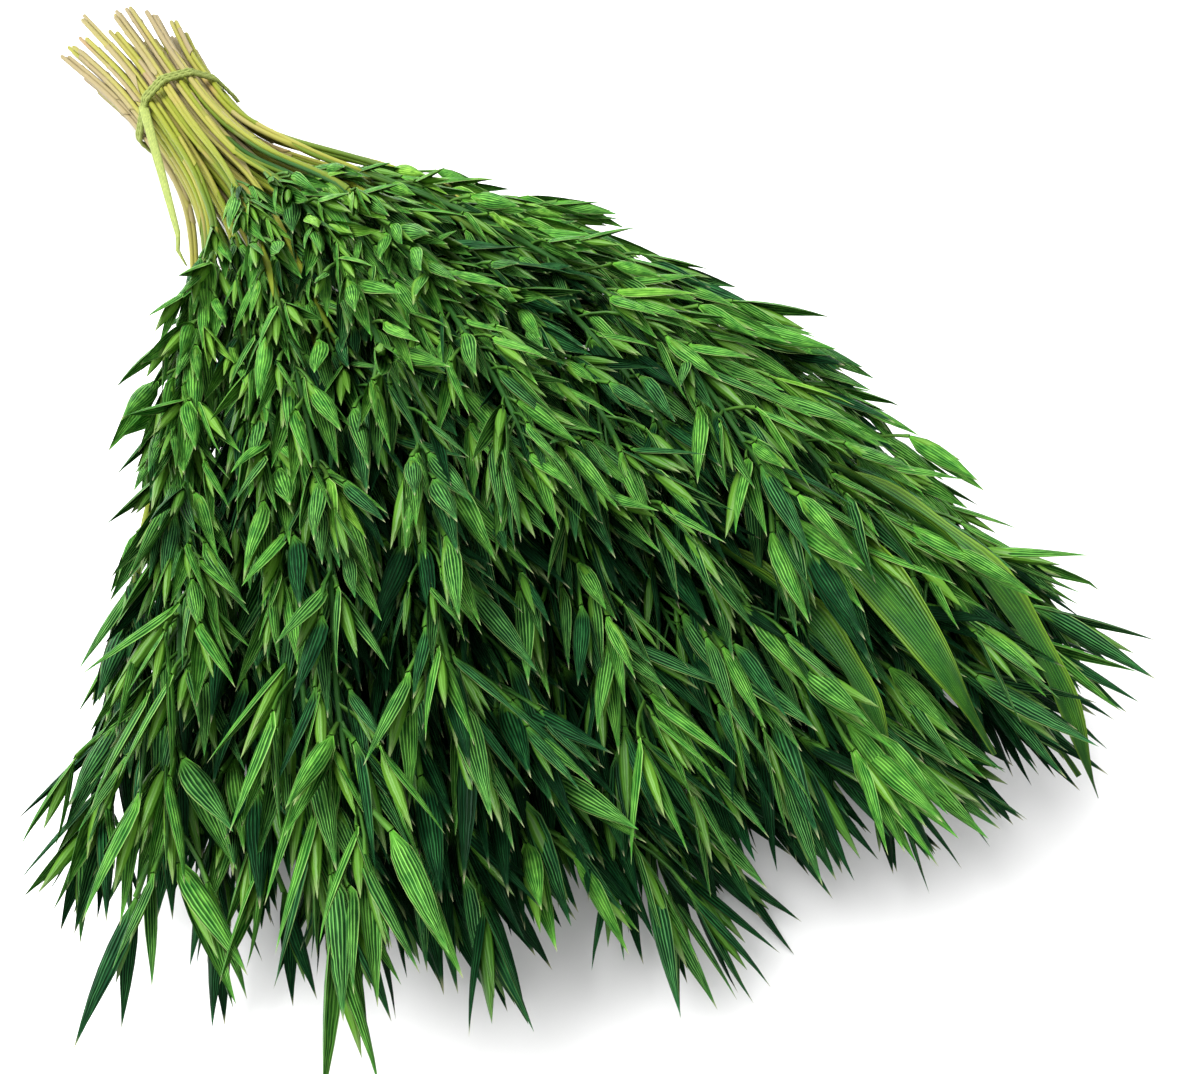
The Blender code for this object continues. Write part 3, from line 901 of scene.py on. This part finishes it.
def leaf_finish(look):
    """The long leaf: many fine veins, a pale midrib and yellow-green margins."""
    finish = Finish("oat leaf")
    u, v, tone, chance = finish.maps()
    side = u.off_middle()
    veins = u.waves(look.leaf_veins)
    cloud = finish.noise(u + chance * 9.0, v * 5.0, scale=2.5)
    colour = finish.blend(veins, look.leaf_deep, look.leaf_light)
    colour = finish.blend(cloud.between(0.4, 0.75) * 0.5 * tone, colour, look.lime)
    colour = finish.blend(side.between(0.55, 1.0) * 0.8, colour, look.leaf_edge)
    colour = finish.blend((1.0 - veins) * 0.5, colour, look.leaf_deep)
    colour = finish.blend((1.0 - side).between(0.9, 1.0) * 0.7, colour, look.leaf_light)
    roughness = 0.54 - 0.12 * veins
    return finish.surface(colour, roughness, gloss=0.22, relief=(veins, look.coarse_height))


def tie_finish(look):
    """The tie's twisted strand: green plant fibre with fine pale hairs along it."""
    finish = Finish("tie strand")
    u, v, _, _ = finish.maps()
    fibres = finish.noise(u * 8.0 + v * 12.0, v * 4.0, scale=6.0, detail=5.0)
    colour = finish.blend(fibres.between(0.35, 0.7), look.tie_deep, look.tie_light)
    return finish.surface(colour, 0.62 + 0.2 * fibres, relief=(fibres, look.coarse_height))


def floor_finish(look):
    """Pale matt paper with the faintest unevenness."""
    finish = Finish("pale paper")
    place = finish.add("ShaderNodeTexCoord", {}, {}, "Object")
    cloud = finish.add("ShaderNodeTexNoise", {}, {"Vector": place, "Scale": 6.0, "Detail": 3.0})
    colour = finish.blend(cloud * 0.2, look.floor, look.floor_shade)
    return finish.surface(colour, roughness=0.9)


STEM_FINISHES = (husk_finish, floret_finish, straw_finish, axis_finish, leaf_finish)


# Values that a user can change


def number(name, description, value, **limits):
    return bpy.props.FloatProperty(name=name, description=description, default=value, **limits)


def numbers(name, description, values, **limits):
    return bpy.props.FloatVectorProperty(name=name, description=description, default=values, **limits)


def colour(name, shade):
    return numbers(name, f"Colour: {name.lower()}", shade, subtype="COLOR", min=0.0, max=1.0)


def length(name, description, size, most=0.1):
    return number(name, description, size, min=0.0, max=most, unit="LENGTH", precision=5)


def share(name, description, value, most=1.0):
    return number(name, description, value, min=0.0, max=most, subtype="FACTOR")


def angle(name, description, degrees):
    return number(name, description, math.radians(degrees), subtype="ANGLE")


def span(name, description, low, high, unit="LENGTH"):
    return numbers(name, description, (low, high), size=2, unit=unit, precision=4)


def count(name, description, value):
    return bpy.props.IntProperty(name=name, description=description, default=value, min=1)


class OatShape(bpy.types.PropertyGroup):
    """Sizes of the husks, straws, leaves and the tie's loose end."""

    stalk_radius: length("Stalk radius", "Radius of the thin stalks", 0.00055)
    husk_width: share("Husk width", "Width of a husk, as a share of its length", 0.185)
    wrap: angle("Husk wrap", "How far a husk's sides bend round its contents", 62.0)
    bulge: share("Husk bulge", "How far a husk's back arches, as a share of its length", 0.035)
    gape_least: angle("Least gape", "Smallest angle between a husk and the spikelet's line", 3.5)
    gape_most: angle("Most gape", "Largest angle between a husk and the spikelet's line", 14.0)
    floret_length: span("Floret length", "As a share of the spikelet", 0.50, 0.74, "NONE")
    floret_width: share("Floret width", "As a share of the floret's length", 0.16)
    floret_lean: angle("Floret lean", "How far a floret leans out of the husks, as a spread", 4.5)
    branch_spacing: length("Branch spacing", "From one small spikelet to the next", 0.0060)
    spikelet_turn: angle("Spikelet turn", "How far spikelets turn about themselves, as a spread", 45.0)
    small_length: span("Small spikelet length", "Length without the stalk", 0.022, 0.034)
    branch_length: span("Branch length", "Length of a small spikelet's branch", 0.006, 0.018)
    branch_lean: span("Branch lean", "Angle from the panicle's axis, at its end", 0.25, 0.90, "ROTATION")
    neck_length: length("Bare neck", "From the tie to the first spikelets on top", 0.118, most=0.3)
    # Painted shade: how much darker the spikelets that lie under others are painted
    cover_shade_depth: share("Inner depth", "How much deeper the green of the hidden spikelets is", 0.96)
    # Painted light towards the neck: less painted shade there, and tones lighter near the neck and
    # darker far from it
    neck_open: share("Open neck", "How much less hidden the spikelets near the neck are", 1.0)
    neck_lift: share("Light neck", "How much lighter the spikelets near the neck are", 0.75)
    straw_fill: span("Straw fill", "Radius, as a share of the packed stem's", 0.40, 0.54, "NONE")
    straw_offset: share("Straw offset", "From the stem's line, as a share of its radius", 0.54)
    straw_twist: angle("Straw twist", "How far straws turn round each other, as a spread", 70.0)
    cut_spread: length("Cut spread", "How unevenly the straws of a stem are cut", 0.012)
    sheathed: share("Sheathed", "How likely a knot is to carry a dry sheath", 0.4)
    sheath_length: span("Sheath length", "From the knot to the loose end", 0.03, 0.09)
    knot_length: length("Knot length", "Length of a straw's knot", 0.0022)
    bore: share("Bore", "Radius of a straw's hollow, as a share of its own", 0.62)
    leaf_width: length("Leaf width", "Full width of a long leaf", 0.0125)
    leaf_fold: share("Leaf fold", "How far a leaf's sides rise from its midrib", 0.55)
    leaf_twist: angle("Leaf twist", "How far a leaf turns from its root to its tip", 80.0)
    loose_length: length("Loose end", "Length of the strip that hangs from the tie", 0.135, most=0.3)
    loose_width: span("Loose end width", "At the tie, and before its tip", 0.0044, 0.0030)


class OatLook(bpy.types.PropertyGroup):
    """Colours and fine relief of the husks, straws, leaves, the tie and the floor."""

    groove: colour("Husk groove", (0.002, 0.014, 0.003))
    # Pale veins, and the painted highlight on their tops
    vein_and_highlight: colour("Husk vein", (0.290, 0.530, 0.130))
    # Painted shade: the darkest husk colours, for husks under other spikelets
    body_hidden: colour("Hidden husk", (0.002, 0.016, 0.006))
    body_blue: colour("Blue-green husk", (0.005, 0.062, 0.021))
    body_green: colour("Green husk", (0.020, 0.155, 0.016))
    body_lime: colour("Lime husk", (0.075, 0.230, 0.014))
    # Lighter copies of the husk colours, blended in by mottling and by the painted sheen on a husk's
    # back
    bright_hidden: colour("Light hidden husk", (0.006, 0.044, 0.012))
    bright_blue: colour("Light blue-green husk", (0.042, 0.220, 0.056))
    bright_green: colour("Light green husk", (0.165, 0.475, 0.062))
    bright_lime: colour("Light lime husk", (0.285, 0.570, 0.070))
    lime: colour("Lime", (0.100, 0.290, 0.022))
    margin: colour("Husk margin", (0.330, 0.500, 0.150))
    dry_tip: colour("Dry tip", (0.330, 0.330, 0.187))
    floret_deep: colour("Deep floret", (0.020, 0.085, 0.008))
    floret_light: colour("Light floret", (0.135, 0.310, 0.026))
    straw_cut: colour("Cut straw", (0.270, 0.220, 0.110))
    straw_pale: colour("Pale straw", (0.285, 0.270, 0.050))
    straw_neck: colour("Neck straw", (0.200, 0.235, 0.014))
    straw_olive: colour("Olive straw", (0.085, 0.145, 0.005))
    straw_green: colour("Green straw", (0.016, 0.085, 0.008))
    stalk_light: colour("Light stalk", (0.070, 0.165, 0.020))
    streak: colour("Straw streak", (0.420, 0.400, 0.200))
    blush: colour("Dry blush", (0.364, 0.196, 0.098))
    leaf_deep: colour("Deep leaf", (0.007, 0.052, 0.007))
    leaf_light: colour("Light leaf", (0.034, 0.150, 0.017))
    leaf_edge: colour("Leaf edge", (0.150, 0.285, 0.016))
    tie_deep: colour("Deep tie", (0.150, 0.200, 0.030))
    tie_light: colour("Light tie", (0.340, 0.400, 0.090))
    floor: colour("Floor", (0.900, 0.900, 0.900))
    floor_shade: colour("Floor shade", (0.870, 0.873, 0.878))
    veins: count("Veins", "Veins on a husk", 8)
    leaf_veins: count("Leaf veins", "Veins on a leaf", 14)
    vein_height: length("Vein height", "How far the veins of a husk stand out", 0.0005)
    coarse_height: length("Coarse relief", "Height of a leaf's veins and the tie's fibres", 0.0003)
    fine_height: length("Fine relief", "Height of the lines on florets and stalks", 0.00008)
    streak_height: length("Straw relief", "Height of the streaks on straws", 0.00012)


class OatStage(bpy.types.PropertyGroup):
    """The camera, the lights and the floor."""

    lens: number("Lens", "Focal length, in millimetres on a 36 mm sensor", 28.59, unit="CAMERA")
    pitch: angle("Camera pitch", "How far the camera looks down", 51.0)
    heading: angle("Camera heading", "How far the camera is turned from +Y towards +X", 31.6)
    camera_place: numbers(
        "Camera place", "From the tie's lowest point", (-0.0646, -0.4738, 0.2554), unit="LENGTH"
    )
    floor_size: length("Floor size", "Side of the square floor", 4.0, most=10.0)
    key_power: number("Key light", "Power of the large lamp above", 48.0, unit="POWER")
    fill_power: number("Fill light", "Power of the lamp beside the camera", 3.5, unit="POWER")
    sky: share("Sky", "Strength of the even light from all around", 0.8, most=5.0)


# Operators


class OATS_OT_grow_stems(bpy.types.Operator):
    """Grows the straw, husks, stalks and leaves of every packed stem"""

    bl_idname = "oats.grow_stems"
    bl_label = "Grow the stems"

    def execute(self, context):
        shape = context.scene.oat_shape
        finishes = [make(context.scene.oat_look) for make in STEM_FINISHES]
        draw = np.random.default_rng(SEED)
        stems = packed_stems()
        packed = [packed_batch(stem, shape, draw) for stem in stems]
        room = Room(packed)
        small = [small_batch(stem, room, shape, draw) for stem in stems]
        middles = np.concatenate([batch.middles for batch in packed + small])
        for stem, *batches in zip(stems, packed, small):
            growth = Growth()
            self.grow(growth, stem, batches, middles, shape, draw)
            piece = growth.make(stem.name.replace("stem", "straw"), finishes)
            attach(piece, "root")
            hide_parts(stem.name)
        return {"FINISHED"}

    def grow(self, growth, stem, batches, middles, shape, draw):
        """Adds a stem's straws, its packed and small spikelets and its leaves."""
        tone = draw.uniform(0.0, 1.0)
        add_straws(growth, stem, shape, tone, draw)
        for batch, grid, florets in zip(batches, HUSK_GRIDS, FLORET_COUNTS):
            own = draw.normal(0.0, OWN_TONES, len(batch.length))
            up = (batch.middles[:, 1] - CAD_LOW[1]) / (CAD_HIGH[1] - CAD_LOW[1])
            # Painted shade: spikelets under others are darkened, less so towards the neck
            hidden = painted_shade_under_cover(batch.middles, middles) * (1.0 - shape.neck_open * up)
            # Painted light: tones rise towards the neck and fall away from it
            tones = FIRST_TONE + STEM_TONES * tone + own + shape.neck_lift * (up - NO_PAINTED_LIGHT_AT)
            tones = np.clip(tones, LEAST_TONE, 1.0) * (1.0 - shape.cover_shade_depth * hidden)
            add_husks(growth, batch, shape, tones, draw, grid)
            add_florets(growth, batch, shape, tones, draw, florets)
            add_stalks(growth, batch, shape, tones)
        for leaf in stem.leaves:
            add_leaf(growth, leaf, shape, draw)


class Neck:
    """The neck of the bundle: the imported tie's middle and axis, and the stems that it holds."""

    def __init__(self, stems):
        points, _ = welded(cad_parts["neck_tie"])
        self.middle = points.mean(axis=0)
        axis = np.linalg.svd(points - self.middle)[2][2]
        self.axis = axis * np.sign(axis[1])
        self.tie_width = np.ptp((points - self.middle) @ self.axis)
        self.aside = unit(np.cross(self.axis, UP))
        self.above = np.cross(self.aside, self.axis)
        self.stems = stems

    def outs(self, turns):
        """The ways out from the axis at these angles."""
        turns = turns[:, None]
        return self.aside * np.cos(turns) + self.above * np.sin(turns)

    def straws_at(self, place):
        """(middles, radii) of the stems where they cross the plane through a place."""
        middles, radii = [], []
        for stem in self.stems:
            marks = np.linspace(0.0, 0.5 * stem.path.length, SEARCH_STEPS)
            points, _ = stem.path.at(marks)
            nearest = np.abs((points - place) @ self.axis).argmin()
            middles.append(points[nearest])
            radii.append(stem.radius(marks[nearest]))
        return np.array(middles), np.array(radii)

    def tight_ring(self, lift):
        """Even points round the outermost stems, like a cord drawn tight, this far off them."""
        middles, radii = self.straws_at(self.middle)
        turns = np.linspace(0.0, FULL_TURN, 4 * TIE_STEPS)
        outs, onward = self.outs(turns), self.outs(turns + 0.25 * FULL_TURN)
        support = ((middles - self.middle) @ outs.T + radii[:, None]).max(axis=0) + lift
        curve = self.middle + outs * support[:, None]
        curve += onward * np.gradient(support, turns)[:, None]
        marks = marks_along(curve)
        even = np.linspace(0.0, marks[-1], TIE_STEPS)
        return np.stack([np.interp(even, marks, column) for column in curve.T], axis=1)

    def foot(self, place, out):
        """Where a strip lies that touches the stems from this side of them."""
        middles, radii = self.straws_at(place)
        heart = middles.mean(axis=0)
        return heart + out * (((middles - heart) @ out + radii).max() + LOOSE_THICKNESS)


class OATS_OT_wind_tie(bpy.types.Operator):
    """Winds the twisted strand of the tie, in three turns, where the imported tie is"""

    bl_idname = "oats.wind_tie"
    bl_label = "Wind the tie"

    def execute(self, context):
        neck = Neck(packed_stems())
        growth = Growth()
        for turn in range(TIE_TURNS):
            self.add_turn(growth, neck, turn)
        self.add_loose_end(growth, neck, context.scene.oat_shape)
        piece = growth.make("tie_strand", [tie_finish(context.scene.oat_look)])
        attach(piece, "root")
        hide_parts("neck_tie")
        return {"FINISHED"}

    def add_turn(self, growth, neck, turn):
        """One ring of two-ply strand, beside the others."""
        strand = 0.5 * neck.tie_width / TIE_TURNS
        centres = neck.tight_ring(STRAND_LIFT * strand)
        centres += neck.axis * strand * (2 * turn - TIE_TURNS + 1)
        ways = np.roll(centres[:-1], -1, axis=0) - np.roll(centres[:-1], 1, axis=0)
        ways = unit(np.concatenate([ways, ways[:1]]))
        out = np.cross(ways, neck.axis)
        twists = TIE_TWISTS * np.linspace(0.0, 1.0, TIE_STEPS)
        around = np.linspace(0.0, FULL_TURN, TIE_SIDES, endpoint=False)
        ply = np.abs(np.cos(around - FULL_TURN * twists[:, None] + turn))
        thin, swell = STRAND_RADII
        radius = strand * (thin + swell * ply)
        points = centres[:, None] + out[:, None] * (radius * np.cos(around))[..., None]
        points = points + neck.axis * (radius * np.sin(around))[..., None]
        growth.add(points[None], tones=0.5, chances=0.5, finish=0, closed=True, along=twists)

    def add_loose_end(self, growth, neck, shape):
        """The loose end: a flat strip drawn from the tie past the neck's left side to the heads."""
        rows, sides = LOOSE_GRID
        share = np.linspace(0.0, 1.0, rows)[:, None]
        outs = neck.outs(np.linspace(*LOOSE_TURNS, rows))
        places = neck.middle - neck.axis * (shape.loose_length * share)
        feet = np.array([neck.foot(place, out) for place, out in zip(places, outs)])
        line = feet[0] + (feet[-1] - feet[0]) * share
        inside = np.maximum(((feet - line) * outs).sum(axis=1, keepdims=True), 0.0)
        path = Path(line + outs * inside)
        centres, ways = path.at(np.linspace(0.0, path.length, rows))
        out = square_to(UP + outs * share, ways)
        half = 0.5 * np.linspace(*shape.loose_width, rows)[:, None] * (1.0 - share**LOOSE_TIP_POWER)
        points = ovals(centres, np.cross(ways, out) * half, out * LOOSE_THICKNESS, sides)
        along = 2.0 * share[:, 0]
        growth.add(points[None], tones=0.5, chances=0.5, finish=0, closed=True, along=along)


class OATS_OT_set_stage(bpy.types.Operator):
    """Sets the pale floor, the soft lamps, the sky and the camera"""

    bl_idname = "oats.set_stage"
    bl_label = "Set the stage"

    def execute(self, context):
        stage = context.scene.oat_stage
        self.add_floor(stage.floor_size, context.scene.oat_look)
        self.add_lamp("key lamp", KEY_PLACE, KEY_SIZE, stage.key_power)
        self.add_lamp("fill lamp", FILL_PLACE, FILL_SIZE, stage.fill_power)
        self.add_sky(stage.sky)
        self.add_camera(stage)
        context.scene.view_settings.view_transform = "Standard"
        return {"FINISHED"}

    def add_floor(self, size, look):
        half = 0.5 * size
        corners = [(-half, -half, 0.0), (half, -half, 0.0), (half, half, 0.0), (-half, half, 0.0)]
        mesh = bpy.data.meshes.new("floor")
        mesh.from_pydata(corners, [], [(0, 1, 2, 3)])
        mesh.materials.append(floor_finish(look))
        placed("floor", mesh)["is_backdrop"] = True

    def add_lamp(self, name, place, size, power):
        """A square soft lamp that faces the bundle."""
        lamp = bpy.data.lights.new(name, "AREA")
        lamp.size = size
        lamp.energy = power
        holder = placed(name, lamp)
        holder.location = place
        holder.rotation_euler = (-Vector(place)).to_track_quat("-Z", "Y").to_euler()

    def add_sky(self, strength):
        world = bpy.data.worlds.new("studio")
        world.use_nodes = True
        background = world.node_tree.nodes["Background"].inputs
        background["Color"].default_value = (1.0, 1.0, 1.0, 1.0)
        background["Strength"].default_value = strength
        bpy.context.scene.world = world

    def add_camera(self, stage):
        low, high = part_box("neck_tie")
        tie = Vector((0.5 * (low.x + high.x), 0.5 * (low.y + high.y), low.z))
        camera = bpy.data.cameras.new("camera")
        camera.sensor_width = SENSOR_WIDTH
        camera.lens = stage.lens
        camera.clip_start = CLIP_START
        holder = placed("camera", camera)
        holder.location = tie + Vector(stage.camera_place)
        pitch = Matrix.Rotation(math.pi / 2 - stage.pitch, 4, "X")
        holder.rotation_euler = (Matrix.Rotation(-stage.heading, 4, "Z") @ pitch).to_euler()
        bpy.context.scene.camera = holder


class OATS_PT_panel(bpy.types.Panel):
    """Lists the steps and the values that they use"""

    bl_label = "Preserved oats bundle"
    bl_idname = "OATS_PT_panel"
    bl_space_type = "VIEW_3D"
    bl_region_type = "UI"
    bl_category = "Oats"

    def draw(self, context):
        for operator in OPERATORS:
            self.layout.operator(operator.bl_idname)
        for name in GROUPS:
            box = self.layout.box()
            group = getattr(context.scene, name)
            for value in group.__annotations__:
                box.prop(group, value)


GROUPS = {"oat_shape": OatShape, "oat_look": OatLook, "oat_stage": OatStage}
OPERATORS = (OATS_OT_grow_stems, OATS_OT_wind_tie, OATS_OT_set_stage)
CLASSES = (*GROUPS.values(), *OPERATORS, OATS_PT_panel)


def register():
    for made in CLASSES:
        bpy.utils.register_class(made)
    for name, group in GROUPS.items():
        setattr(bpy.types.Scene, name, bpy.props.PointerProperty(type=group))


def unregister():
    for name in GROUPS:
        delattr(bpy.types.Scene, name)
    for made in reversed(CLASSES):
        bpy.utils.unregister_class(made)


def main():
    register()
    bpy.ops.oats.grow_stems()
    bpy.ops.oats.wind_tie()
    bpy.ops.oats.set_stage()


if __name__ == "__main__":
    main()
